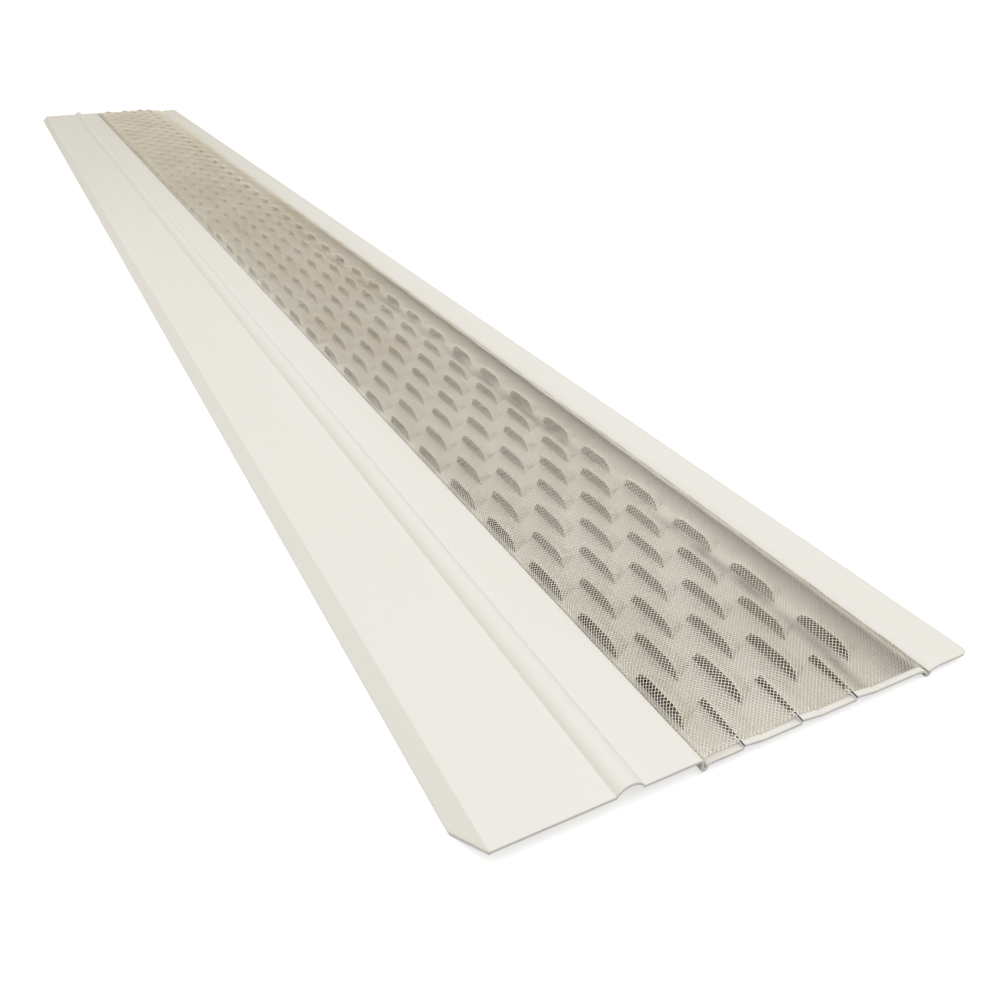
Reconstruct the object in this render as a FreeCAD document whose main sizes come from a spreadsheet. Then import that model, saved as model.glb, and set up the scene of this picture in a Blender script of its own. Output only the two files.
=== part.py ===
import FreeCAD, Part
import Sketcher
import math
import os

# Gutter guard with a micro-mesh filter, in millimetres.
# One strip of painted aluminium is roll-formed and louvred, and a strip of woven
# stainless mesh lies on the louvres with its long edges held in two pleats of the strip.
# +X runs from the roof edge to the gutter edge, +Y along the strip, +Z up from the floor.

SIZES = [
    ("strip_length", 1219.0, "length the guard is sold in, 4 feet"),
    ("overall_width", 160.0, "roof edge to gutter edge, lying flat"),
    ("sheet_thickness", 0.7, "aluminium sheet"),
    ("bend_radius", 0.3, "inside of a tight bend"),
    ("lip_width", 4.6, "turned-down lip along the roof edge, across"),
    ("lip_clip_length", 13.0, "how far the lip is clipped away at the near end"),
    ("corner_radius", 2.5, "rounded near corner of the flange"),
    ("bead_offset", 42.5, "roof edge to the middle of the stiffening bead"),
    ("bead_width", 8.0, "bead, across"),
    ("bead_height", 2.4, "bead above the panel"),
    ("panel_width", 64.4, "roof edge to the pleat that holds the mesh"),
    ("panel_step", 2.0, "panel above the web"),
    ("panel_pleat_leg", 0.2, "straight leg of the panel's pleat below its bends"),
    ("web_height", 2.6, "underside of the web above the floor"),
    ("flange_width", 15.8, "gutter edge to the other pleat that holds the mesh"),
    ("flange_height", 2.2, "underside of the flange above the floor"),
    ("shoulder_width", 4.0, "rounded run from web or flange into that pleat"),
    ("louvre_length", 21.6, "slit of one louvre"),
    ("louvre_shoulder_length", 18.2, "length of the arch at its shoulders"),
    ("louvre_crest_length", 11.0, "flat top of the arch"),
    ("louvre_back_length", 13.0, "line where the hood runs out"),
    ("louvre_shoulder_height", 3.0, "arch at its shoulders, above the web"),
    ("louvre_height", 4.2, "crest above the web"),
    ("louvre_depth", 7.0, "slit to the line where the hood runs out"),
    ("pressed_height", 1.0, "arch of a cut louvre where the shear has pressed it down, above the web"),
    ("row_inset", 3.1, "panel edge to the first row of slits"),
    ("row_pitch", 9.7, "from row to row, across"),
    ("row_margin", 4.0, "least plain web between the last row and the pleat's shoulder"),
    ("louvre_pitch", 30.65, "from louvre to louvre along a row"),
    ("first_louvre", 23.2, "near end to the middle of the first louvre of row one"),
    ("mesh_thickness", 0.5, "woven mesh over its crowns"),
    ("mesh_clearance", 0.1, "room between the mesh and each sheet face it meets"),
    ("mesh_edge_room", 0.2, "room between the mesh edge and the round of its pleat"),
    ("mesh_sag", 0.7, "how far the mesh sags between rows"),
    ("mesh_end_margin", 1.8, "bare sheet beyond the mesh at each end"),
]

# Shares of a size that shape the section.
LIP_MITRE = 0.4
DIP_SHARE = 0.65


class Size:
    """A length from the sheet: its value now, and the expression that binds it."""

    def __init__(self, value, text):
        self.value = value
        self.text = text

    def combined(self, sign, value, other):
        text = other.text if isinstance(other, Size) else repr(float(other))
        return Size(value, f"({self.text} {sign} {text})")

    def __add__(self, other):
        return self.combined("+", self.value + number(other), other)

    def __sub__(self, other):
        return self.combined("-", self.value - number(other), other)

    def __mul__(self, other):
        return self.combined("*", self.value * number(other), other)

    def __truediv__(self, other):
        return self.combined("/", self.value / number(other), other)

    def __neg__(self):
        return self * -1.0


def number(size):
    """Plain value of a size or of a number."""
    return size.value if isinstance(size, Size) else float(size)


class Sheet:
    """The spreadsheet of driving sizes, with each cell as a Size under its alias."""

    def __init__(self, doc):
        cells = doc.addObject("Spreadsheet::Sheet", "sizes")
        for row, (alias, value, meaning) in enumerate(SIZES, start=1):
            cells.set(f"A{row}", alias)
            cells.set(f"B{row}", str(value))
            cells.setAlias(f"B{row}", alias)
            cells.set(f"C{row}", meaning)
        doc.recompute()
        for alias, value, meaning in SIZES:
            setattr(self, alias, Size(float(cells.get(alias)), f"sizes.{alias}"))


class Corner:
    """Corner of an outline. With a centre, the side that leads to it is an arc round that centre."""

    def __init__(self, across, height, centre=None, turn=0, radius=None):
        self.across = across
        self.height = height
        self.centre = centre
        self.turn = turn
        self.radius = radius


LEFT_TURN = 1
RIGHT_TURN = -1
ORIGIN = -1
ACROSS_AXIS = -1
UP_AXIS = -2
START = 1
END = 2
CENTRE = 3
SAME = 1e-9


def plane_of(body, role):
    """Origin plane of a body, by its role."""
    return [feature for feature in body.Origin.OriginFeatures if feature.Role == role][0]


def new_sketch(body, name, role):
    """Empty sketch on one of the body's own origin planes."""
    sketch = body.newObject("Sketcher::SketchObject", name)
    sketch.AttachmentSupport = (plane_of(body, role), [""])
    sketch.MapMode = "FlatFace"
    return sketch


def pin(sketch, kind, element, end, size):
    """Hold one coordinate of a point at a size, bound to the sheet."""
    if abs(size.value) < SAME:
        axis = UP_AXIS if kind == "DistanceX" else ACROSS_AXIS
        sketch.addConstraint(Sketcher.Constraint("PointOnObject", element, end, axis))
        return
    name = f"{kind}_{element}_{end}"
    index = sketch.addConstraint(Sketcher.Constraint(kind, ORIGIN, START, element, end, size.value))
    sketch.renameConstraint(index, name)
    sketch.setExpression(f"Constraints.{name}", size.text)


def arc_between(start, finish):
    """Arc from one corner to the next, and which of its ends comes first."""
    middle_x, middle_z = (part.value for part in finish.centre)
    angles = [math.atan2(c.height.value - middle_z, c.across.value - middle_x) for c in (start, finish)]
    reach = math.hypot(start.across.value - middle_x, start.height.value - middle_z)
    circle = Part.Circle(FreeCAD.Vector(middle_x, middle_z, 0), FreeCAD.Vector(0, 0, 1), reach)
    if finish.turn == LEFT_TURN:
        return Part.ArcOfCircle(circle, angles[0], angles[1]), START, END
    return Part.ArcOfCircle(circle, angles[1], angles[0]), END, START


def draw_outline(sketch, corners):
    """Closed outline through the corners, with every corner held by the sheet."""
    sides = []
    for start, finish in zip(corners, corners[1:] + corners[:1]):
        if finish.centre:
            curve, first, last = arc_between(start, finish)
        else:
            ends = [FreeCAD.Vector(c.across.value, c.height.value, 0) for c in (start, finish)]
            curve, first, last = Part.LineSegment(*ends), START, END
        sides.append((sketch.addGeometry(curve), first, last, start, finish))
    for (side, first, last, start, finish), follower in zip(sides, sides[1:] + sides[:1]):
        sketch.addConstraint(Sketcher.Constraint("Coincident", side, last, follower[0], follower[1]))
    for side, first, last, start, finish in sides:
        pin(sketch, "DistanceX", side, first, start.across)
        pin(sketch, "DistanceY", side, first, start.height)
        if finish.radius:
            index = sketch.addConstraint(Sketcher.Constraint("Radius", side, finish.radius.value))
            sketch.renameConstraint(index, f"radius_{side}")
            sketch.setExpression(f"Constraints.radius_{side}", finish.radius.text)
        elif finish.centre and abs(start.height.value - finish.height.value) < SAME:
            pin(sketch, "DistanceY", side, CENTRE, finish.centre[1])
        elif finish.centre:
            pin(sketch, "DistanceX", side, CENTRE, finish.centre[0])


class Levels:
    """Heights and pleat places that the sheet and the mesh share."""

    def __init__(self, s):
        self.floor = s.sheet_thickness * 0.0
        self.pocket = s.mesh_thickness + s.mesh_clearance * 2.0
        self.bend_outside = s.sheet_thickness + s.bend_radius
        self.web_low = s.web_height
        self.web_top = self.web_low + s.sheet_thickness
        self.panel_low = self.web_low + s.panel_step
        self.panel_top = self.panel_low + s.sheet_thickness
        self.flange_low = s.flange_height
        self.flange_top = self.flange_low + s.sheet_thickness

        self.panel_wall = s.panel_width
        self.row_wall = self.panel_wall + self.pocket
        self.panel_pleat = (
            self.panel_wall + self.pocket / 2.0,
            self.web_low - s.bend_radius - s.panel_pleat_leg,
        )
        self.flange_wall = s.overall_width - s.flange_width
        self.web_wall = self.flange_wall - self.pocket
        self.flange_pleat = (
            self.flange_wall - self.pocket / 2.0,
            s.sheet_thickness + self.pocket / 2.0,
        )
        self.shoulder_end = self.flange_pleat[1] + s.sheet_thickness
        self.shoulder_end_low = self.flange_pleat[1] + s.sheet_thickness / 2.0
        self.web_end = self.web_wall - s.shoulder_width
        self.flange_start = self.flange_wall + s.shoulder_width

        self.mesh_crest = self.web_top + s.louvre_height + s.mesh_clearance


def shoulder_round(width, drop):
    """Radius of an arc that starts level and falls by the drop over the width."""
    return (width * width + drop * drop) / (drop * 2.0)


def bead_arc(s, base, end, turn):
    """Corner at the end of the bead's round top, above the given base height."""
    radius = shoulder_round(s.bead_width / 2.0, s.bead_height)
    return Corner(end, base, (s.bead_offset, base + s.bead_height - radius), turn, radius)


def sheet_underside(s, lv):
    """Underside of the strip, from the tip of the lip to the gutter edge."""
    thick = s.sheet_thickness
    mitre = thick * LIP_MITRE
    leg, foot = lv.panel_wall - thick, lv.row_wall + thick
    drop = lv.web_low - lv.shoulder_end_low
    rise = lv.flange_low - lv.shoulder_end_low
    run = s.shoulder_width - thick
    web_round = lv.web_low - shoulder_round(run, drop)
    flange_round = lv.flange_low - shoulder_round(run, rise)
    return [
        Corner(mitre, lv.floor),
        Corner(s.lip_width + mitre, lv.panel_low),
        Corner(s.bead_offset - s.bead_width / 2.0, lv.panel_low),
        bead_arc(s, lv.panel_low, s.bead_offset + s.bead_width / 2.0, RIGHT_TURN),
        Corner(leg - s.bend_radius, lv.panel_low),
        Corner(leg, lv.panel_low - s.bend_radius,
               (leg - s.bend_radius, lv.panel_low - s.bend_radius), RIGHT_TURN),
        Corner(leg, lv.panel_pleat[1]),
        Corner(foot, lv.panel_pleat[1], lv.panel_pleat, LEFT_TURN),
        Corner(foot, lv.web_low - s.bend_radius),
        Corner(foot + s.bend_radius, lv.web_low,
               (foot + s.bend_radius, lv.web_low - s.bend_radius), RIGHT_TURN),
        Corner(lv.web_end, lv.web_low),
        Corner(lv.web_wall - thick, lv.shoulder_end_low, (lv.web_end, web_round), RIGHT_TURN),
        Corner(lv.web_wall - thick, lv.flange_pleat[1]),
        Corner(lv.flange_wall + thick, lv.flange_pleat[1], lv.flange_pleat, LEFT_TURN),
        Corner(lv.flange_wall + thick, lv.shoulder_end_low),
        Corner(lv.flange_start, lv.flange_low, (lv.flange_start, flange_round), RIGHT_TURN),
        Corner(s.overall_width, lv.flange_low),
    ]


def sheet_upper_side(s, lv):
    """Upper side of the strip, from the gutter edge back to the tip of the lip."""
    out = lv.bend_outside
    drop = lv.web_top - lv.shoulder_end
    rise = lv.flange_top - lv.shoulder_end
    web_round = lv.web_top - shoulder_round(s.shoulder_width, drop)
    flange_round = lv.flange_top - shoulder_round(s.shoulder_width, rise)
    return [
        Corner(s.overall_width, lv.flange_top),
        Corner(lv.flange_start, lv.flange_top),
        Corner(lv.flange_wall, lv.shoulder_end, (lv.flange_start, flange_round), LEFT_TURN),
        Corner(lv.flange_wall, lv.flange_pleat[1]),
        Corner(lv.web_wall, lv.flange_pleat[1], lv.flange_pleat, RIGHT_TURN),
        Corner(lv.web_wall, lv.shoulder_end),
        Corner(lv.web_end, lv.web_top, (lv.web_end, web_round), LEFT_TURN),
        Corner(lv.row_wall + out, lv.web_top),
        Corner(lv.row_wall, lv.web_top - out, (lv.row_wall + out, lv.web_top - out), LEFT_TURN),
        Corner(lv.row_wall, lv.panel_pleat[1]),
        Corner(lv.panel_wall, lv.panel_pleat[1], lv.panel_pleat, RIGHT_TURN),
        Corner(lv.panel_wall, lv.panel_top - out),
        Corner(lv.panel_wall - out, lv.panel_top,
               (lv.panel_wall - out, lv.panel_top - out), LEFT_TURN),
        Corner(s.bead_offset + s.bead_width / 2.0, lv.panel_top),
        bead_arc(s, lv.panel_top, s.bead_offset - s.bead_width / 2.0, LEFT_TURN),
        Corner(s.lip_width, lv.panel_top),
        Corner(lv.floor, s.sheet_thickness),
    ]


def row_count(s, lv):
    """Rows of louvres that fit between the panel and the pleat's shoulder."""
    room = lv.web_end.value - s.panel_width.value - s.row_inset.value
    room -= s.louvre_depth.value + s.row_margin.value
    return int(room // s.row_pitch.value) + 1


def mesh_outline(s, lv, rows):
    """Section of the mesh: edge in one pleat, over each row of crests, edge in the other pleat."""
    thick = s.mesh_thickness
    lead = thick / 2.0
    first_low = lv.panel_pleat[1] + s.mesh_edge_room
    last_low = lv.flange_pleat[1] + s.mesh_edge_room
    low = [(lv.row_wall - s.mesh_clearance, first_low), (lv.row_wall - s.mesh_clearance, lv.panel_low)]
    high = [(lv.panel_wall + s.mesh_clearance, first_low),
            (lv.panel_wall + s.mesh_clearance, lv.panel_low + lead)]
    for row in range(rows):
        slit = s.panel_width + s.row_inset + s.row_pitch * float(row)
        dip = slit + s.row_pitch * DIP_SHARE
        low += [(slit - lead, lv.mesh_crest), (slit + thick, lv.mesh_crest)]
        high += [(slit - (thick if row == 0 else lead), lv.mesh_crest + thick),
                 (slit + thick, lv.mesh_crest + thick)]
        if row < rows - 1:
            low.append((dip, lv.mesh_crest - s.mesh_sag))
            high.append((dip, lv.mesh_crest - s.mesh_sag + thick))
    drop = lv.web_top - lv.shoulder_end
    brow = lv.web_wall - s.shoulder_width / 2.0 + drop * drop / (s.shoulder_width * 2.0)
    brow_low = lv.web_top + s.mesh_clearance
    low += [(brow, brow_low), (lv.web_wall + s.mesh_clearance, lv.shoulder_end),
            (lv.web_wall + s.mesh_clearance, last_low)]
    high += [(brow + lead, brow_low + thick), (lv.flange_wall - s.mesh_clearance, lv.shoulder_end + lead),
             (lv.flange_wall - s.mesh_clearance, last_low)]
    return [Corner(across, height) for across, height in low + high[::-1]]


def padded_section(doc, name, corners, length, shift):
    """Body made by padding a section both ways along the strip."""
    body = doc.addObject("PartDesign::Body", name)
    sketch = new_sketch(body, f"{name}_section", "XZ_Plane")
    draw_outline(sketch, corners)
    pad = body.newObject("PartDesign::Pad", f"{name}_pad")
    pad.Profile = sketch
    pad.Midplane = True
    pad.setExpression("Length", length.text)
    body.setExpression("Placement.Base.x", shift.text)
    doc.recompute()
    return body


def trim_corners(doc, body, s, lv):
    """Clip the lip and round the flange corner at the near end."""
    near = -(s.strip_length / 2.0)
    clip = [
        Corner(lv.floor, near),
        Corner(s.lip_width, near),
        Corner(lv.floor, near + s.lip_clip_length),
    ]
    inner = (s.overall_width - s.corner_radius, near + s.corner_radius)
    rounding = [
        Corner(s.overall_width, near),
        Corner(s.overall_width, inner[1]),
        Corner(inner[0], near, inner, RIGHT_TURN, s.corner_radius),
    ]
    for name, corners in (("lip_clip", clip), ("corner_rounding", rounding)):
        sketch = new_sketch(body, name, "XY_Plane")
        draw_outline(sketch, corners)
        pocket = body.newObject("PartDesign::Pocket", f"{name}_cut")
        pocket.Profile = sketch
        pocket.Type = "ThroughAll"
        pocket.Midplane = True
        doc.recompute()


def solid_of(rings):
    """Solid bounded by flat faces, one for each ring of points."""
    faces = [Part.Face(Part.makePolygon(ring + ring[:1])) for ring in rings]
    solid = Part.makeSolid(Part.makeShell(faces))
    if solid.Volume < 0:
        solid.reverse()
    return solid


def hood(s, lift):
    """Solid under one louvre's skin: an arch at the slit that runs out to a shorter line behind."""
    def ends(length, across, height):
        half = length.value / 2.0
        return [FreeCAD.Vector(across, side * half, lift + height) for side in (-1, 1)]

    foot = ends(s.louvre_length, 0.0, 0.0)
    shoulder = ends(s.louvre_shoulder_length, 0.0, s.louvre_shoulder_height.value)
    crest = ends(s.louvre_crest_length, 0.0, s.louvre_height.value)
    back = ends(s.louvre_back_length, s.louvre_depth.value, 0.0)
    rings = [
        [foot[0], back[0], back[1], foot[1]],
        [foot[0], foot[1], shoulder[1], crest[1], crest[0], shoulder[0]],
        [crest[0], crest[1], back[1], back[0]],
    ]
    for side in (0, 1):
        rings.append([shoulder[side], crest[side], back[side]])
        rings.append([foot[side], shoulder[side], back[side]])
    return solid_of(rings)


def pressed_hood(s, lift, left, inward):
    """Solid under the skin of a cut louvre: from its inner shoulder it falls straight to the strip's end.

    left is the length of slit that is left, and inward is 1 or -1, the way from the end into the strip.
    """
    def point(across, along, height):
        return FreeCAD.Vector(across, inward * along, lift + height)

    def inner(length):
        return left - (s.louvre_length.value - length.value) / 2.0

    depth = s.louvre_depth.value
    foot = point(0.0, left, 0.0)
    shoulder = point(0.0, inner(s.louvre_shoulder_length), s.louvre_shoulder_height.value)
    back = point(depth, inner(s.louvre_back_length), 0.0)
    end_foot = point(0.0, 0.0, 0.0)
    end_top = point(0.0, 0.0, s.pressed_height.value)
    end_back = point(depth, 0.0, 0.0)
    return solid_of([
        [foot, back, end_back, end_foot],
        [foot, end_foot, end_top, shoulder],
        [end_foot, end_back, end_top],
        [shoulder, end_top, end_back],
        [shoulder, end_back, back],
        [foot, shoulder, back],
    ])


def louvre_places(s, rows):
    """Middle of each slit from the roof edge and the near end, with every second row half a pitch back."""
    places = []
    for row in range(rows):
        across = s.panel_width.value + s.row_inset.value + row * s.row_pitch.value
        along = s.first_louvre.value - (row % 2) * s.louvre_pitch.value / 2.0
        while along < s.strip_length.value:
            places.append((across, along))
            along += s.louvre_pitch.value
    return places


def hoods(s, rows, lift):
    """All hoods at the given height: whole ones, and pressed ones where an end cuts the louvre."""
    length = s.strip_length.value
    reach = s.louvre_length.value / 2.0
    whole = hood(s, lift)
    solids = []
    for across, along in louvre_places(s, rows):
        if along < reach:
            one, start = pressed_hood(s, lift, along + reach, 1), 0.0
        elif along > length - reach:
            one, start = pressed_hood(s, lift, length - along + reach, -1), length
        else:
            one, start = whole, along
        place = FreeCAD.Vector(across - s.overall_width.value / 2.0, start - length / 2.0, 0.0)
        solids.append(one.translated(place))
    return solids


def louvred(doc, strip, s, lv, rows):
    """The strip with its louvres: hoods raised on the web, hollow below, open at the slit."""
    raised = hoods(s, rows, lv.web_top.value)
    hollow = hoods(s, rows, lv.web_low.value)
    plain = Part.Solid(strip.Shape.Solids[0])
    sheet = doc.addObject("Part::Feature", "louvred_sheet")
    sheet.Shape = plain.fuse(raised).cut(hollow).Solids[0]
    return sheet


def check(doc, parts):
    """Stop unless every object is sound and every part is one valid solid."""
    for item in doc.Objects:
        if "Invalid" in item.State or "Error" in item.State:
            raise RuntimeError(f"{item.Name} failed: {item.State}")
    for part in parts:
        if part.Shape.isNull() or not part.Shape.isValid() or len(part.Shape.Solids) != 1:
            raise RuntimeError(f"{part.Label} is not one valid solid")


def main():
    doc = FreeCAD.newDocument("gutter_guard")
    s = Sheet(doc)
    lv = Levels(s)
    rows = row_count(s, lv)
    to_middle = -(s.overall_width / 2.0)

    outline = sheet_underside(s, lv) + sheet_upper_side(s, lv)
    strip = padded_section(doc, "rolled_strip", outline, s.strip_length, to_middle)
    trim_corners(doc, strip, s, lv)
    sheet = louvred(doc, strip, s, lv, rows)
    sheet.Label = "louvred_sheet"

    mesh_length = s.strip_length - s.mesh_end_margin * 2.0
    mesh = padded_section(doc, "micro_mesh", mesh_outline(s, lv, rows), mesh_length, to_middle)
    mesh.Label = "micro_mesh"

    parts = [sheet, mesh]
    check(doc, parts)
    os.makedirs("parts", exist_ok=True)
    for part in parts:
        box = part.Shape.BoundBox
        print(f"{part.Label}: {part.Shape.Volume / 1000.0:.1f} cm3, "
              f"{box.XLength:.2f} x {box.YLength:.2f} x {box.ZLength:.2f} mm")
        part.Shape.exportStep(f"parts/{part.Label}.step")


main()
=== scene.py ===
import logging
import math
from dataclasses import dataclass
from enum import Enum
from typing import Union

import bpy
import numpy as np
from mathutils import Matrix, Vector


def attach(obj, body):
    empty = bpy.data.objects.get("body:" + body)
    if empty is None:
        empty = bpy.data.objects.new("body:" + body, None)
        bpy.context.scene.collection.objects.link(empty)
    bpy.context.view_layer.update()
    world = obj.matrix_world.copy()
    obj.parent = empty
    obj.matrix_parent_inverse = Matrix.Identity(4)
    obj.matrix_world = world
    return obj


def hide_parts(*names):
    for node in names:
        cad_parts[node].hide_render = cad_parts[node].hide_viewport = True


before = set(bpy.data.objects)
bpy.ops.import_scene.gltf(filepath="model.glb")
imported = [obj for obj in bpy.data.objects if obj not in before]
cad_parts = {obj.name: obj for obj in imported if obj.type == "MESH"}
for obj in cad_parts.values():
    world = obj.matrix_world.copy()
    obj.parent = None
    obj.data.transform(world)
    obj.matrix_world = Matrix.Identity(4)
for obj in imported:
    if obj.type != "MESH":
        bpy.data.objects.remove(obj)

# Gutter guard: a louvred strip of painted aluminium with woven wire cloth drawn over its louvres.
# Metres throughout; +X from the roof edge to the gutter edge, +Y along the strip, +Z up.

log = logging.getLogger("gutter_guard")

Pair = tuple[float, float]
Triple = tuple[float, float, float]
Colour = Triple
Socket = bpy.types.NodeSocket
Number = Union[float, Socket]
Value = Union[float, Triple, Socket]

BODY = "root"
MM = 0.001
WHITE: Colour = (1.0, 1.0, 1.0)
TUBE_SIDES = 3


class Node(Enum):
    """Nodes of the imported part."""

    SHEET = "louvred_sheet"
    MESH = "micro_mesh"


class Slot(Enum):
    """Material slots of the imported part."""

    PAINT = "off_white_paint"
    WIRE = "stainless_mesh"


class WireSet(Enum):
    """The two sets of wires, by the way they slant as they cross the strip. Weft lies on top."""

    WARP = 1.0
    WEFT = -1.0


class ShaderNodes:
    """Adds shader nodes to one material or world and joins them up."""

    def __init__(self, owner: Union[bpy.types.Material, bpy.types.World]) -> None:
        """Empty the owner's node tree.

        Args:
            owner: material or world whose tree is built.
        """
        owner.use_nodes = True
        self.tree = owner.node_tree
        self.tree.nodes.clear()

    def add(self, kind: str, **settings: object) -> bpy.types.Node:
        """Add one node.

        Args:
            kind: Blender's name of the node type, without its ShaderNode prefix.
            settings: properties of the node to set.

        Returns:
            The new node.
        """
        node = self.tree.nodes.new("ShaderNode" + kind)
        for name, value in settings.items():
            setattr(node, name, value)
        return node

    def feed(self, socket: Socket, value: Value) -> None:
        """Link a socket to another, or set its own value.

        Args:
            socket: input to fill.
            value: an output socket, a number, a vector or a colour.
        """
        if isinstance(value, Socket):
            self.tree.links.new(value, socket)
        elif socket.type == "RGBA":
            socket.default_value = (*value, 1.0)
        else:
            socket.default_value = value

    def math(self, operation: str, first: Number, second: Number = 0.0) -> Socket:
        """Result of one math operation.

        Args:
            operation: Blender's name of the operation.
            first: first value.
            second: second value, where the operation has one.

        Returns:
            The output socket.
        """
        node = self.add("Math", operation=operation)
        self.feed(node.inputs[0], first)
        self.feed(node.inputs[1], second)
        return node.outputs[0]

    def mix(self, factor: Number, first: Value, second: Value) -> Socket:
        """Blend of two colours.

        Args:
            factor: 0 for the first, 1 for the second.
            first: colour at 0.
            second: colour at 1.

        Returns:
            The output socket.
        """
        node = self.add("Mix", data_type="RGBA")
        sockets = [socket for socket in node.inputs if socket.enabled]
        for socket, value in zip(sockets, (factor, first, second)):
            self.feed(socket, value)
        return next(socket for socket in node.outputs if socket.enabled)

    def ramp(self, value: Number, low: float, high: float, start: float, end: float) -> Socket:
        """Map a range of values to another, held at its ends.

        Args:
            value: what is mapped.
            low: value that gives start.
            high: value that gives end.
            start: result at low.
            end: result at high.

        Returns:
            The output socket.
        """
        node = self.add("MapRange", clamp=True)
        for socket, entry in zip(node.inputs, (value, low, high, start, end)):
            self.feed(socket, entry)
        return node.outputs[0]

    def between(self, value: Number, low: float, high: float) -> Socket:
        """1 where a value lies between two others, else 0.

        Args:
            value: what is tested.
            low: lower end.
            high: upper end.

        Returns:
            The output socket.
        """
        above = self.math("GREATER_THAN", value, low)
        below = self.math("LESS_THAN", value, high)
        return self.math("MULTIPLY", above, below)

    def separate(self, vector: Socket) -> list[Socket]:
        """The three numbers of a vector.

        Args:
            vector: output socket with the vector.

        Returns:
            One socket a number.
        """
        node = self.add("SeparateXYZ")
        self.feed(node.inputs[0], vector)
        return list(node.outputs)

    def place(self) -> list[Socket]:
        """Coordinates on the piece, as three numbers."""
        return self.separate(self.add("TexCoord").outputs["Object"])

    def noise(self, scale: Triple, detail: float) -> Socket:
        """Noise over the piece.

        Args:
            scale: cells per metre along each axis.
            detail: octaves.

        Returns:
            The noise, about 0.3 to 0.7.
        """
        mapping = self.add("Mapping")
        self.feed(mapping.inputs["Vector"], self.add("TexCoord").outputs["Object"])
        self.feed(mapping.inputs["Scale"], scale)
        node = self.add("TexNoise")
        self.feed(node.inputs["Vector"], mapping.outputs[0])
        self.feed(node.inputs["Scale"], 1.0)
        self.feed(node.inputs["Detail"], detail)
        return node.outputs["Fac"]

    def surface(self, shader: Socket, kind: str = "OutputMaterial") -> None:
        """Make a shader the surface of the material or world."""
        self.tree.links.new(shader, self.add(kind).inputs["Surface"])


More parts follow.
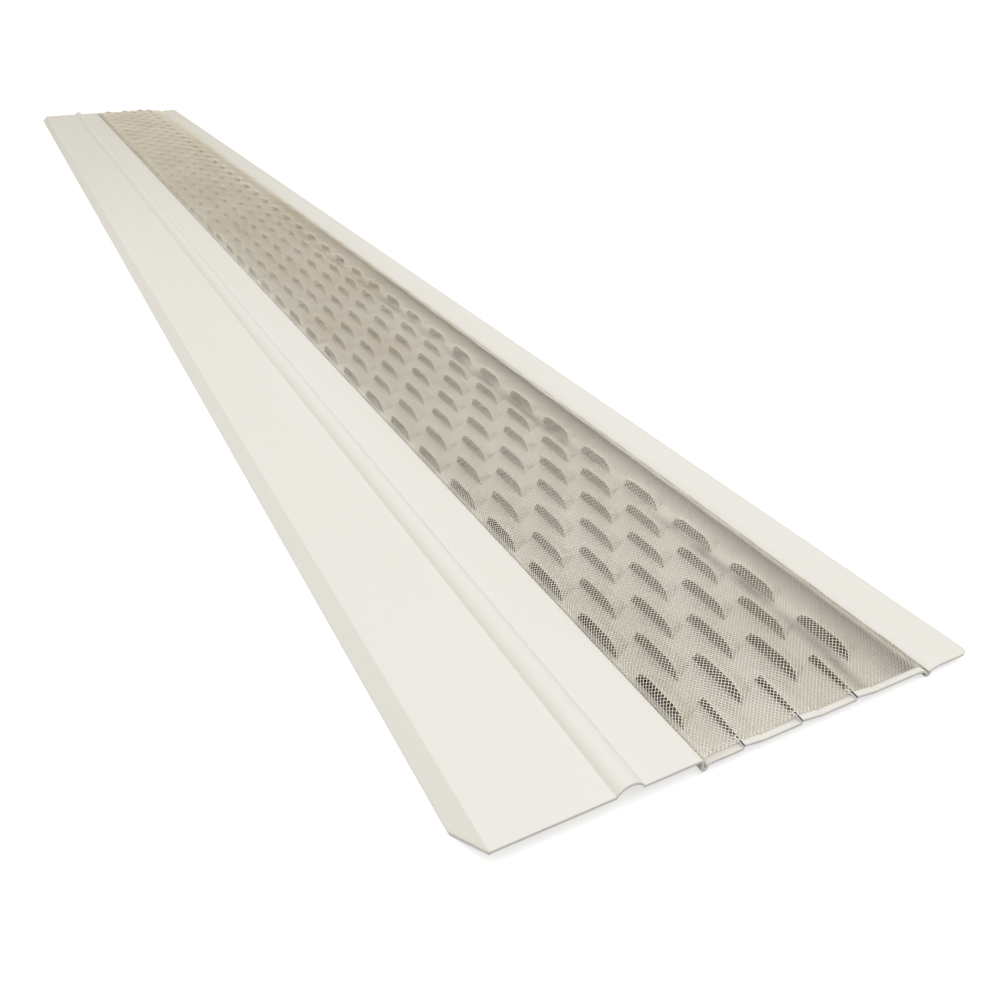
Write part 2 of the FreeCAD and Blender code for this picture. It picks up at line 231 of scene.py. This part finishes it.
@dataclass(frozen=True)
class CoilPaint:
    """Satin coil coating on the upper side of the strip, with a dull wash coat below.

    Faces that look straight across or along the strip are cut edges. The web under the cloth is painted
    duller as shade cast by the cloth, and the faces of its slits are painted dark as shade. The dark
    underside coat is partly its own colour and partly painted shade inside the hoods. Places are from
    the middle of the strip.
    """

    upper: Colour = (0.838, 0.815, 0.755)
    shaded: Colour = (0.826, 0.80, 0.735)
    # Underside coat: its darkness is partly its own colour and partly painted shade inside the hoods.
    dark_wash_and_shade: Colour = (0.13, 0.115, 0.096)
    cut_edge: Colour = (0.60, 0.59, 0.565)
    # Faces of the slits: painted shade, dark as the shadow gap at each slit.
    slit_face_shade: Colour = (0.10, 0.09, 0.075)
    # Web under the cloth: a duller tone that is painted shade cast by the cloth.
    cloth_shade: Colour = (0.69, 0.665, 0.605)
    cloth_shade_low: Pair = (-12.8 * MM, -607.7 * MM)
    cloth_shade_high: Pair = (63.6 * MM, 607.7 * MM)
    cloud_scale: Triple = (9.0, 4.0, 9.0)
    cloud_detail: float = 3.0
    cloud_share: float = 0.85
    streak_scale: Triple = (420.0, 3.0, 420.0)
    streak_detail: float = 2.0
    streak_share: float = 0.15
    tone_low: float = 0.35
    tone_high: float = 0.65
    rough_low: float = 0.36
    rough_high: float = 0.46
    edge_start: float = 0.85
    edge_full: float = 0.95
    down_start: float = -0.15
    down_full: float = -0.3
    peel_scale: Triple = (900.0, 900.0, 900.0)
    peel_detail: float = 1.0
    bump_strength: float = 0.5
    bump_depth: float = 0.02 * MM
    edge_round: float = 0.6 * MM
    edge_samples: int = 4

    def colour(self, nodes: ShaderNodes, tone: Socket) -> Socket:
        """Colour of the strip, by place and by the way a face looks.

        Args:
            nodes: the material's nodes.
            tone: 0 for the upper colour, 1 for the shaded one.

        Returns:
            The colour's socket.
        """
        facing = nodes.separate(nodes.add("NewGeometry").outputs["Normal"])
        crosswise, lengthwise = (
            nodes.ramp(nodes.math("ABSOLUTE", facing[axis]), self.edge_start, self.edge_full, 0.0, 1.0)
            for axis in (0, 1)
        )
        place = nodes.place()
        # Where the web lies under the cloth, for its painted shade and for the slit faces' painted shade.
        across, along = (
            nodes.between(place[axis], self.cloth_shade_low[axis], self.cloth_shade_high[axis]) for axis in (0, 1)
        )
        below = nodes.ramp(facing[2], self.down_start, self.down_full, 0.0, 1.0)
        paint = nodes.mix(tone, self.upper, self.shaded)
        paint = nodes.mix(nodes.math("MAXIMUM", crosswise, lengthwise), paint, self.cut_edge)
        # Painted shade of the cloth on the web.
        paint = nodes.mix(nodes.math("MULTIPLY", across, along), paint, self.cloth_shade)
        # Painted shade on the faces of the slits.
        paint = nodes.mix(nodes.math("MULTIPLY", crosswise, across), paint, self.slit_face_shade)
        # Faces that look down get the dark underside coat, partly painted shade.
        return nodes.mix(below, paint, self.dark_wash_and_shade)

    def material(self, name: str) -> bpy.types.Material:
        """Build the coating.

        Args:
            name: name of the material.

        Returns:
            The material.
        """
        made = bpy.data.materials.new(name)
        nodes = ShaderNodes(made)
        cloud = nodes.math("MULTIPLY", nodes.noise(self.cloud_scale, self.cloud_detail), self.cloud_share)
        streak = nodes.noise(self.streak_scale, self.streak_detail)
        both = nodes.math("ADD", cloud, nodes.math("MULTIPLY", streak, self.streak_share))
        tone = nodes.ramp(both, self.tone_low, self.tone_high, 0.0, 1.0)
        sheen = nodes.ramp(streak, self.tone_low, self.tone_high, self.rough_low, self.rough_high)
        bevel = nodes.add("Bevel", samples=self.edge_samples)
        nodes.feed(bevel.inputs["Radius"], self.edge_round)
        bump = nodes.add("Bump")
        nodes.feed(bump.inputs["Strength"], self.bump_strength)
        nodes.feed(bump.inputs["Distance"], self.bump_depth)
        nodes.feed(bump.inputs["Height"], nodes.noise(self.peel_scale, self.peel_detail))
        nodes.feed(bump.inputs["Normal"], bevel.outputs[0])
        shader = nodes.add("BsdfPrincipled")
        nodes.feed(shader.inputs["Base Color"], self.colour(nodes, tone))
        nodes.feed(shader.inputs["Roughness"], sheen)
        nodes.feed(shader.inputs["Normal"], bump.outputs[0])
        nodes.surface(shader.outputs[0])
        return made


@dataclass(frozen=True)
class WireSteel:
    """Drawn stainless wire, tarnished in patches, with painted shade in two bands along the strip.

    One band is painted shade where the cloth dips to its gutter edge, eased to a lighter strip at the
    edge itself. The other is a narrow broken streak of painted shade between the slits of the last two
    rows. Both are strongest at the near end. Places are from the middle of the strip.
    """

    bright: Colour = (0.97, 0.905, 0.77)
    tarnish: Colour = (0.88, 0.805, 0.655)
    painted_shade: Colour = (0.20, 0.175, 0.135)
    age_scale: Triple = (30.0, 12.0, 30.0)
    age_detail: float = 3.0
    age_low: float = 0.4
    age_high: float = 0.7
    # Painted shade band towards the gutter-edge pleat: where it starts, where it is full, how dark at most.
    shade_band_start: float = 45.0 * MM
    shade_band_full: float = 57.5 * MM
    shade_band_most: float = 0.78
    shade_ease_start: float = 58.8 * MM
    shade_ease_full: float = 60.6 * MM
    shade_ease_left: float = 0.22
    shade_band_fade_start: float = -380.0 * MM
    shade_band_fade_end: float = 50.0 * MM
    shade_band_left: float = 0.2
    # Painted shade streak where the cloth dips between the slits of the last two rows.
    dip_place: float = 39.4 * MM
    dip_half: float = 3.2 * MM
    dip_shade_most: float = 0.7
    dip_fade_start: float = -400.0 * MM
    dip_fade_end: float = 0.0
    patch_scale: Triple = (60.0, 60.0, 60.0)
    patch_detail: float = 1.0
    patch_low: float = 0.35
    patch_high: float = 0.6
    patch_least: float = 0.2
    rough_low: float = 0.38
    rough_high: float = 0.5

    def painted_shading(self, nodes: ShaderNodes) -> Socket:
        """How much painted shade the wire carries, by place.

        Args:
            nodes: the material's nodes.

        Returns:
            The share's socket, 0 for wire with no painted shade.
        """
        across, along, _ = nodes.place()
        # Painted shade: darker towards the gutter-edge pleat, eased at the edge itself, fading along the
        # strip.
        depth = nodes.ramp(across, self.shade_band_start, self.shade_band_full, 0.0, self.shade_band_most)
        eased = nodes.ramp(across, self.shade_ease_start, self.shade_ease_full, 1.0, self.shade_ease_left)
        left = nodes.ramp(along, self.shade_band_fade_start, self.shade_band_fade_end, 1.0, self.shade_band_left)
        edge_shade = nodes.math("MULTIPLY", nodes.math("MULTIPLY", depth, left), eased)
        # Painted shade: a broken streak between the slits of the last two rows, fading along the strip.
        aside = nodes.math("ABSOLUTE", nodes.math("SUBTRACT", across, self.dip_place))
        streak = nodes.ramp(aside, 0.0, self.dip_half, self.dip_shade_most, 0.0)
        cloud = nodes.noise(self.patch_scale, self.patch_detail)
        patch = nodes.ramp(cloud, self.patch_low, self.patch_high, self.patch_least, 1.0)
        fade = nodes.ramp(along, self.dip_fade_start, self.dip_fade_end, 1.0, 0.0)
        dip_shade = nodes.math("MULTIPLY", nodes.math("MULTIPLY", streak, patch), fade)
        return nodes.math("MAXIMUM", edge_shade, dip_shade)

    def material(self, name: str) -> bpy.types.Material:
        """Build the wire's finish.

        Args:
            name: name of the material.

        Returns:
            The material.
        """
        made = bpy.data.materials.new(name)
        nodes = ShaderNodes(made)
        cloud = nodes.noise(self.age_scale, self.age_detail)
        age = nodes.ramp(cloud, self.age_low, self.age_high, 0.0, 1.0)
        unshaded = nodes.mix(age, self.bright, self.tarnish)
        shader = nodes.add("BsdfPrincipled")
        # Painted shade mixed into the wire's colour.
        nodes.feed(shader.inputs["Base Color"], nodes.mix(self.painted_shading(nodes), unshaded, self.painted_shade))
        nodes.feed(shader.inputs["Metallic"], 1.0)
        nodes.feed(shader.inputs["Roughness"], nodes.ramp(age, 0.0, 1.0, self.rough_low, self.rough_high))
        nodes.surface(shader.outputs[0])
        return made


@dataclass
class LouvredStrip:
    """The painted strip as packed, and the shape of the louvres that the cloth lies on.

    Places across are from the roof edge, places along from the near end and heights from the floor.
    """

    paint: CoilPaint = CoilPaint()
    length: float = 1219.0 * MM
    width: float = 160.0 * MM
    web_top: float = 3.3 * MM
    shoulder_start: float = 139.5 * MM
    shoulder_end: float = 143.5 * MM
    shoulder_low: float = 1.75 * MM
    rows: int = 7
    first_row: float = 67.5 * MM
    row_pitch: float = 9.7 * MM
    first_louvre: float = 23.2 * MM
    louvre_pitch: float = 30.65 * MM
    foot_half: float = 10.8 * MM
    shoulder_half: float = 9.1 * MM
    crest_half: float = 5.5 * MM
    back_half: float = 6.5 * MM
    arch_shoulder: float = 3.0 * MM
    arch_crest: float = 4.2 * MM
    hood_depth: float = 7.0 * MM
    pressed_height: float = 1.0 * MM
    least_run: float = 0.01 * MM

    def dress(self) -> bpy.types.Object:
        """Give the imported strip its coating.

        Returns:
            The strip's object.
        """
        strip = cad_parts[Node.SHEET.value]
        strip.data.materials.clear()
        strip.data.materials.append(self.paint.material(Slot.PAINT.value))
        return strip

    def whole_hood(self, side: np.ndarray, share: np.ndarray) -> np.ndarray:
        """Height of a whole hood over the web.

        It is an arch at the slit, level over the crest, then two straight falls to shoulder and
        foot, and it shrinks in a straight line to nothing at its back line.

        Args:
            side: distances along the strip from the louvre's middle.
            share: distances behind the slit, over the hood's depth.

        Returns:
            Heights over the grid.
        """
        crest, shoulder, foot = (
            half + (self.back_half - half) * share
            for half in (self.crest_half, self.shoulder_half, self.foot_half)
        )
        upper = (side - crest) / np.maximum(shoulder - crest, self.least_run)
        lower = (side - shoulder) / np.maximum(foot - shoulder, self.least_run)
        arch = self.arch_crest - (self.arch_crest - self.arch_shoulder) * np.clip(upper, 0.0, 1.0)
        arch = arch - self.arch_shoulder * np.clip(lower, 0.0, 1.0)
        return arch * (1.0 - share)

    def pressed_hood(self, left: np.ndarray, inward: np.ndarray, share: np.ndarray) -> np.ndarray:
        """Height over the web of a hood that the shear has cut and pressed.

        It is the lowest of three planes: one from the inner shoulder down to the strip's end, one
        from the shoulder down to the back line, and one from the shoulder down to the inner foot.

        Args:
            left: length of slit that is left.
            inward: distances from the strip's end.
            share: distances behind the slit, over the hood's depth.

        Returns:
            Heights over the grid.
        """
        shoulder_run = self.foot_half - self.shoulder_half
        back_run = self.foot_half - self.back_half
        rise = (self.arch_shoulder - self.pressed_height) * inward / (left - shoulder_run)
        to_end = self.pressed_height * (1.0 - share) + rise
        to_back = self.arch_shoulder * (1.0 - share)
        to_foot = self.arch_shoulder * (left - inward - back_run * share) / shoulder_run
        return np.maximum(np.minimum(np.minimum(to_end, to_back), to_foot), 0.0)

    def top(self, across: np.ndarray, along: np.ndarray, reach: float) -> np.ndarray:
        """Upper side of web and louvres.

        Each louvre is a whole hood, or a pressed one where an end of the strip cuts it. Past the
        web's end the shoulder falls on a circle into the pleat.

        Args:
            across: distances from the roof edge, as a column for each.
            along: distances from the near end, as a row for each.
            reach: how far in front of its slit a hood still counts.

        Returns:
            Heights over the grid.
        """
        fall = self.web_top - self.shoulder_low
        run = self.shoulder_end - self.shoulder_start
        radius = (run * run + fall * fall) / (2.0 * fall)
        past = np.clip(across - self.shoulder_start, 0.0, run)
        base = self.web_top - radius + np.sqrt(radius * radius - past * past)
        heights = np.repeat(base[:, None], along.size, axis=1)
        inward = np.minimum(along, self.length - along)
        for row in range(self.rows):
            first = self.first_louvre - (row % 2) * self.louvre_pitch / 2.0
            middle = first + np.round((along - first) / self.louvre_pitch) * self.louvre_pitch
            left = np.minimum(middle, self.length - middle) + self.foot_half
            behind = (across - self.first_row - row * self.row_pitch)[:, None]
            share = np.clip(behind / self.hood_depth, 0.0, 1.0)
            whole = self.whole_hood(np.abs(along - middle), share)
            pressed = self.pressed_hood(left, inward, share)
            hood = np.where(left < 2.0 * self.foot_half, pressed, whole)
            inside = (behind > -reach) & (behind < self.hood_depth) & (left > self.foot_half)
            heights = np.where(inside, np.maximum(heights, self.web_top + hood), heights)
        return heights


@dataclass
class WireCloth:
    """Woven wire cloth laid on the bias over the louvres, its long edges tucked into the two pleats.

    Places across are from the roof edge, places along from the near end and heights from the floor.
    """

    strip: LouvredStrip
    weft_steel: WireSteel = WireSteel()
    # Warp wires: a duller copy of the same steel, painted shade for how the light falls along them.
    shaded_warp_steel: WireSteel = WireSteel(bright=(0.84, 0.775, 0.645), tarnish=(0.72, 0.65, 0.515))
    pitch: float = 0.92 * MM
    wire: float = 0.16 * MM
    column_step: int = 2
    bundles: int = 2
    across_cells: int = 112
    along_cells: int = 760
    lift: float = 0.35 * MM
    panel_tuck: float = 64.58 * MM
    panel_tuck_low: float = 2.3 * MM
    panel_tuck_top: float = 5.25 * MM
    panel_bow_start: float = 68.5 * MM
    panel_bow_top: float = 7.75 * MM
    panel_bow_power: float = 3.2
    flange_tuck: float = 143.85 * MM
    flange_tuck_low: float = 1.25 * MM
    flange_tuck_top: float = 2.1 * MM
    flange_bow_start: float = 128.0 * MM
    flange_bow_top: float = 6.2 * MM
    flange_bow_power: float = 2.3
    flange_wave: float = 0.22 * MM
    flange_sway: float = 0.12 * MM
    sway_power: int = 2
    wave_phase: float = 0.23
    end_fall: float = 2.2 * MM
    end_reach: float = 14.0 * MM
    end_pull: float = 6.0
    end_margin: float = 1.8 * MM
    corner_margin: float = 0.6 * MM
    slant_end: float = 85.0 * MM
    slant_louvres: float = 2.0
    pull: float = 0.012 / MM
    passes: int = 500

    def wave(self, along: np.ndarray) -> np.ndarray:
        """How the gutter edge goes in and out of its pleat: one cosine a louvre, 1 at its lowest."""
        turns = (along - self.strip.first_louvre) / self.strip.louvre_pitch - self.wave_phase
        return np.cos(2.0 * math.pi * turns)

    def lowest(self, across: np.ndarray, along: np.ndarray, slack: np.ndarray) -> np.ndarray:
        """Heights that the cloth can't sink below.

        They are the louvres' upper side plus a lift. By each long edge the cloth is stiff, and it
        can't sink below a bow that falls from its top to the edge with a power of the distance. The
        bows are lower where the cloth is slack.

        Args:
            across: distances from the roof edge.
            along: distances from the near end.
            slack: 1 at the strip's ends, falling to 0 away from them.

        Returns:
            Heights over the grid.
        """
        heights = self.strip.top(across, along, across[1] - across[0]) + self.lift
        gutter_edge = self.flange_tuck_top - self.flange_wave * self.wave(along)
        bows = (
            (self.flange_bow_start, across[-1], gutter_edge, self.flange_bow_top, self.flange_bow_power),
            (self.panel_bow_start, across[0], self.panel_tuck_top, self.panel_bow_top, self.panel_bow_power),
        )
        for start, end, edge, top, power in bows:
            share = ((across - start) / (end - start))[:, None]
            rise = top - self.end_fall * slack - edge
            bow = edge + rise * (1.0 - np.clip(share, 0.0, 1.0) ** power)
            heights = np.where(share > 0.0, np.maximum(heights, bow), heights)
        heights[0] = self.panel_tuck_top
        heights[-1] = gutter_edge
        return heights

    def settled(self, across: np.ndarray, along: np.ndarray) -> np.ndarray:
        """Height of the cloth where it comes to rest on the louvres.

        It is a stretched skin with a downward pull that is even but for more at the strip's ends:
        every point moves to the mean of its four neighbours less the pull, or stays on what lies
        below if that is higher, and this is done over the whole grid until it settles.

        Args:
            across: distances from the roof edge.
            along: distances from the near end.

        Returns:
            Heights over the grid.
        """
        inward = np.minimum(along - along[0], along[-1] - along)
        slack = np.exp(-inward / self.end_reach)
        pull = self.pull * (1.0 + self.end_pull * slack)
        lowest = self.lowest(across, along, slack)
        height = np.maximum(lowest, self.strip.web_top + self.strip.arch_crest + self.lift)
        height[0], height[-1] = lowest[0], lowest[-1]
        weight_x = 1.0 / (across[1] - across[0]) ** 2
        weight_y = 1.0 / (along[1] - along[0]) ** 2
        for _ in range(self.passes):
            ends = np.concatenate([height[:, :1], height, height[:, -1:]], axis=1)
            spread = weight_x * (height[2:] + height[:-2])
            spread = spread + weight_y * (ends[1:-1, 2:] + ends[1:-1, :-2]) - pull
            height[1:-1] = np.maximum(spread / (2.0 * (weight_x + weight_y)), lowest[1:-1])
        return height

    def surface(self) -> np.ndarray:
        """Points of the cloth, from the panel's pleat over the louvres and down into the other pleat.

        Its near end slants towards the panel, in a straight line that fades out along the strip. Its
        gutter edge sways with the wave, by a power of the distance past the start of the bow.

        Returns:
            Columns across by rows along by three coordinates.
        """
        across = np.linspace(self.panel_tuck, self.flange_tuck, self.across_cells + 1)
        along = np.linspace(self.end_margin, self.strip.length - self.end_margin, self.along_cells + 1)
        first = np.full((1, along.size), self.panel_tuck_low)
        last = np.full((1, along.size), self.flange_tuck_low)
        z = np.concatenate([first, self.settled(across, along), last])
        x = np.concatenate([across[:1], across, across[-1:]])[:, None]
        slant = np.clip((self.slant_end - x) / (self.slant_end - self.panel_tuck), 0.0, 1.0)
        fade_run = self.slant_louvres * self.strip.louvre_pitch
        fade = np.clip(1.0 - (along - along[0]) / fade_run, 0.0, 1.0)
        y = along - (self.end_margin - self.corner_margin) * slant * fade
        past = np.clip((x - self.flange_bow_start) / (self.flange_tuck - self.flange_bow_start), 0.0, 1.0)
        x = x - self.flange_sway * self.wave(along) * past**self.sway_power
        return np.stack([x, y, z], axis=-1)

    def lines(self, points: np.ndarray, wires: WireSet) -> tuple[np.ndarray, np.ndarray]:
        """Middle lines of one set of wires.

        A wire keeps its run across the cloth, plus or minus its distance along, at a whole number
        of pitches times the root of two, so it crosses the strip on the slant. It follows the
        cloth's height, half a wire above or below it, and is cut where it leaves the cloth.

        Args:
            points: the cloth's points.
            wires: which set.

        Returns:
            Columns across by wires by three coordinates, and which of these points are in use.
        """
        last_column = points.shape[0] - 1
        chosen = np.unique([0, *range(1, last_column, self.column_step), last_column - 1, last_column])
        columns = points[chosen]
        lengths = np.linalg.norm(np.diff(columns[:, :, [0, 2]], axis=0), axis=-1).mean(axis=1)
        run = np.concatenate([[0.0], np.cumsum(lengths)])
        step = math.sqrt(2.0) * self.pitch
        first = math.ceil(min(wires.value * columns[0, [0, -1], 1]) / step)
        last = math.floor((run[-1] + max(wires.value * columns[-1, [0, -1], 1])) / step)
        along = wires.value * (np.arange(first, last + 1) * step - run[:, None])
        near, far = columns[:, :1, 1], columns[:, -1:, 1]
        place = np.clip(along, near, far)
        pairs = list(zip(place, columns))
        across, height = (
            np.stack([np.interp(at, column[:, 1], column[:, axis]) for at, column in pairs])
            for axis in (0, 2)
        )
        line = np.stack([across, along, height - wires.value * self.wire / 2.0], axis=-1)
        return cut_lines(line, place, (along >= near) & (along <= far))

    def build(self) -> list[bpy.types.Object]:
        """Make the cloth's wires, each set in bundles from one end of the strip to the other.

        Returns:
            One object a bundle.
        """
        finishes = {WireSet.WEFT: self.weft_steel, WireSet.WARP: self.shaded_warp_steel}
        middle = np.array([self.strip.width / 2.0, self.strip.length / 2.0, 0.0])
        points = self.surface()
        pieces = []
        for wires in WireSet:
            # The warp's finish is the shaded copy of the steel, painted shade.
            finish = finishes[wires].material(f"{Slot.WIRE.value}_{wires.name.lower()}")
            sideways = np.array([1.0, wires.value, 0.0]) / math.sqrt(2.0)
            split = (np.array_split(part, self.bundles, axis=1) for part in self.lines(points, wires))
            for number, (line, used) in enumerate(zip(*split), start=1):
                name = f"{wires.name.lower()}_wires_{number}"
                piece = tubes_object(name, line - middle, used, sideways, self.wire)
                piece.data.materials.append(finish)
                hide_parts(Node.MESH.value)
                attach(piece, BODY)
                pieces.append(piece)
        return pieces


def cut_lines(line: np.ndarray, place: np.ndarray, held: np.ndarray) -> tuple[np.ndarray, np.ndarray]:
    """Cut wires where they leave the cloth.

    The first point past the cloth's end is drawn back along its wire: it is the inner neighbour plus
    the share of the way between the two that lies on the cloth.

    Args:
        line: points of a wire by wires by three coordinates.
        place: the points' distances along the strip, kept within the cloth.
        held: true where a point lies on the cloth.

    Returns:
        The cut lines, and which of their points are in use.
    """
    along = line[:, :, 1]
    none = np.zeros_like(held[:1])
    before = np.concatenate([none, held[:-1]])
    after = np.concatenate([held[1:], none])
    for loose, shift in ((~held & after, -1), (~held & before, 1)):
        inner = np.roll(line, shift, axis=0)
        share = (place - inner[:, :, 1]) / np.where(loose, along - inner[:, :, 1], 1.0)
        line = np.where(loose[:, :, None], inner + share[:, :, None] * (line - inner), line)
    return line, held | before | after


def mesh_object(name: str, points: np.ndarray, faces: np.ndarray) -> bpy.types.Object:
    """Smooth mesh of triangles or of quads.

    Args:
        name: name of the object.
        points: coordinates, three a point.
        faces: three or four point numbers a face.

    Returns:
        The new object, in the scene.
    """
    mesh = bpy.data.meshes.new(name)
    mesh.vertices.add(points.size // 3)
    mesh.vertices.foreach_set("co", points.reshape(-1).astype(np.float32))
    mesh.loops.add(faces.size)
    mesh.loops.foreach_set("vertex_index", faces.reshape(-1).astype(np.int32))
    mesh.polygons.add(len(faces))
    mesh.polygons.foreach_set("loop_start", np.arange(0, faces.size, faces.shape[1], dtype=np.int32))
    mesh.update(calc_edges=True)
    mesh.polygons.foreach_set("use_smooth", np.ones(len(faces), dtype=bool))
    made = bpy.data.objects.new(name, mesh)
    bpy.context.scene.collection.objects.link(made)
    return made


def tubes_object(
    name: str, lines: np.ndarray, used: np.ndarray, sideways: np.ndarray, thickness: float
) -> bpy.types.Object:
    """Closed three-sided tubes along middle lines that run side by side.

    A tube's ring stands at each point of its line: a corner is the middle plus the radius times the
    cosine of its turn upwards and the sine of its turn sideways. The radius makes the ring as high
    as the tube is thick. One triangle closes each end.

    Args:
        name: name of the object.
        lines: points of a tube by tubes by three coordinates.
        used: points of a tube by tubes, true where the tube has that point, without a break.
        sideways: level direction square to the lines.
        thickness: height of a tube.

    Returns:
        The new object, in the scene.
    """
    turn = 2.0 * math.pi * np.arange(TUBE_SIDES) / TUBE_SIDES
    ring = np.cos(turn)[:, None] * np.array([0.0, 0.0, 1.0]) + np.sin(turn)[:, None] * sideways
    radius = thickness / (1.0 + math.cos(math.pi / TUBE_SIDES))
    points = lines[:, :, None, :] + radius * ring
    index = np.arange(points.size // 3).reshape(points.shape[:3])
    turned = np.roll(index, -1, axis=2)
    joined = used[:-1] & used[1:]
    wall = (index[:-1][joined], index[1:][joined], turned[1:][joined], turned[:-1][joined])
    none = np.zeros_like(used[:1])
    starts = index[used & ~np.concatenate([none, used[:-1]])]
    ends = index[used & ~np.concatenate([used[1:], none])]
    faces = np.concatenate([
        np.stack([wall[0], wall[1], wall[2]], axis=-1).reshape(-1, 3),
        np.stack([wall[0], wall[2], wall[3]], axis=-1).reshape(-1, 3),
        starts,
        ends[:, ::-1],
    ])
    kept, renumbered = np.unique(faces, return_inverse=True)
    return mesh_object(name, points.reshape(-1, 3)[kept], renumbered.reshape(-1, 3))


@dataclass
class Studio:
    """Pale floor, warm sky, cool lamp over the near end, and the camera at the photograph's angle."""

    floor_half: float = 12.0
    floor_drop: float = 0.2 * MM
    floor_colour: Colour = (0.80, 0.80, 0.80)
    floor_glow: float = 0.62
    shade_low: Pair = (-15.6 * MM, -602.5 * MM)
    shade_high: Pair = (64.2 * MM, 602.5 * MM)
    sky_tint: Colour = (0.60, 0.568, 0.472)
    sky_strength: float = 1.0
    key_tint: Colour = (0.77, 0.825, 1.0)
    key_power: float = 6.9
    key_size: float = 1.3
    key_place: Triple = (0.0, -0.65, 0.9)
    key_aim: Triple = (0.0, -0.65, 0.0)
    eye: Triple = (-0.13552, -0.72895, 0.17654)
    heading: float = 26.5774
    tilt: float = 30.9357
    roll: float = -0.3414
    focal: float = 0.912746
    shift: Pair = (0.01413, 0.00071)
    sensor: float = 36.0
    clip_near: float = 0.01
    clip_far: float = 100.0

    def seen_directly(self, nodes: ShaderNodes) -> Socket:
        """1 for rays from the camera, in reflections and through clear things, else 0.

        Args:
            nodes: the material's or the world's nodes.

        Returns:
            The output socket.
        """
        path = nodes.add("LightPath")
        mirrored = nodes.math("MAXIMUM", path.outputs["Is Glossy Ray"], path.outputs["Is Transmission Ray"])
        return nodes.math("MAXIMUM", path.outputs["Is Camera Ray"], mirrored)

    def floor_material(self) -> bpy.types.Material:
        """Matt floor with a glow where it is seen directly, but none under the louvred web.

        Returns:
            The material.
        """
        made = bpy.data.materials.new("pale_floor")
        nodes = ShaderNodes(made)
        matt = nodes.add("BsdfDiffuse")
        nodes.feed(matt.inputs["Color"], self.floor_colour)
        place = nodes.place()
        under = nodes.math("MULTIPLY", *(
            nodes.between(place[axis], self.shade_low[axis], self.shade_high[axis]) for axis in (0, 1)
        ))
        clear = nodes.ramp(under, 0.0, 1.0, self.floor_glow, 0.0)
        glow = nodes.add("Emission")
        nodes.feed(glow.inputs["Color"], WHITE)
        nodes.feed(glow.inputs["Strength"], nodes.math("MULTIPLY", self.seen_directly(nodes), clear))
        both = nodes.add("AddShader")
        nodes.feed(both.inputs[0], matt.outputs[0])
        nodes.feed(both.inputs[1], glow.outputs[0])
        nodes.surface(both.outputs[0])
        return made

    def lay_floor(self) -> bpy.types.Object:
        """Lay the floor under the guard.

        Returns:
            The floor's object.
        """
        reach = np.array([-self.floor_half, self.floor_half])
        x, y = np.meshgrid(reach, reach, indexing="ij")
        points = np.stack([x, y, np.full_like(x, -self.floor_drop)], axis=-1)
        floor = mesh_object("floor", points, np.array([[0, 2, 3, 1]]))
        floor.data.materials.append(self.floor_material())
        return floor

    def light(self) -> bpy.types.Object:
        """Set the sky, warm for the light it gives and white where it is seen directly, and the lamp.

        Returns:
            The lamp's object.
        """
        world = bpy.data.worlds.new("studio")
        bpy.context.scene.world = world
        nodes = ShaderNodes(world)
        sky = nodes.add("Background")
        nodes.feed(sky.inputs["Color"], nodes.mix(self.seen_directly(nodes), self.sky_tint, WHITE))
        nodes.feed(sky.inputs["Strength"], self.sky_strength)
        nodes.surface(sky.outputs[0], "OutputWorld")
        lamp = bpy.data.lights.new("key", "AREA")
        lamp.shape = "SQUARE"
        lamp.size = self.key_size
        lamp.energy = self.key_power
        lamp.color = self.key_tint
        key = bpy.data.objects.new("key", lamp)
        key.location = self.key_place
        sight = Vector(self.key_aim) - Vector(self.key_place)
        key.rotation_euler = sight.to_track_quat("-Z", "Y").to_euler()
        bpy.context.scene.collection.objects.link(key)
        return key

    def set_camera(self) -> bpy.types.Object:
        """Place the camera.

        Returns:
            The camera's object.
        """
        heading, tilt, roll = (math.radians(angle) for angle in (self.heading, self.tilt, self.roll))
        level = math.cos(tilt)
        ahead = Vector((math.sin(heading) * level, math.cos(heading) * level, -math.sin(tilt)))
        right = Vector((math.cos(heading), -math.sin(heading), 0.0))
        up = right.cross(ahead)
        side = right * math.cos(roll) + up * math.sin(roll)
        top = up * math.cos(roll) - right * math.sin(roll)
        data = bpy.data.cameras.new("camera")
        data.sensor_width = self.sensor
        data.lens = self.focal * self.sensor
        data.shift_x, data.shift_y = self.shift
        data.clip_start = self.clip_near
        data.clip_end = self.clip_far
        camera = bpy.data.objects.new("camera", data)
        turned = Matrix((side, top, -ahead)).transposed().to_4x4()
        camera.matrix_world = Matrix.Translation(self.eye) @ turned
        bpy.context.scene.collection.objects.link(camera)
        bpy.context.scene.camera = camera
        return camera


def main() -> None:
    """Build the pieces in order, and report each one."""
    logging.basicConfig(level=logging.INFO, format="%(name)s: %(message)s")
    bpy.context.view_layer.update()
    bpy.context.scene.view_settings.view_transform = "Standard"
    studio = Studio()
    studio.set_camera()
    strip = LouvredStrip()
    painted = strip.dress()
    log.info("%s: painted", painted.name)
    for piece in WireCloth(strip).build():
        log.info("%s: %d faces", piece.name, len(piece.data.polygons))
    studio.lay_floor()
    studio.light()


if __name__ == "__main__":
    main()
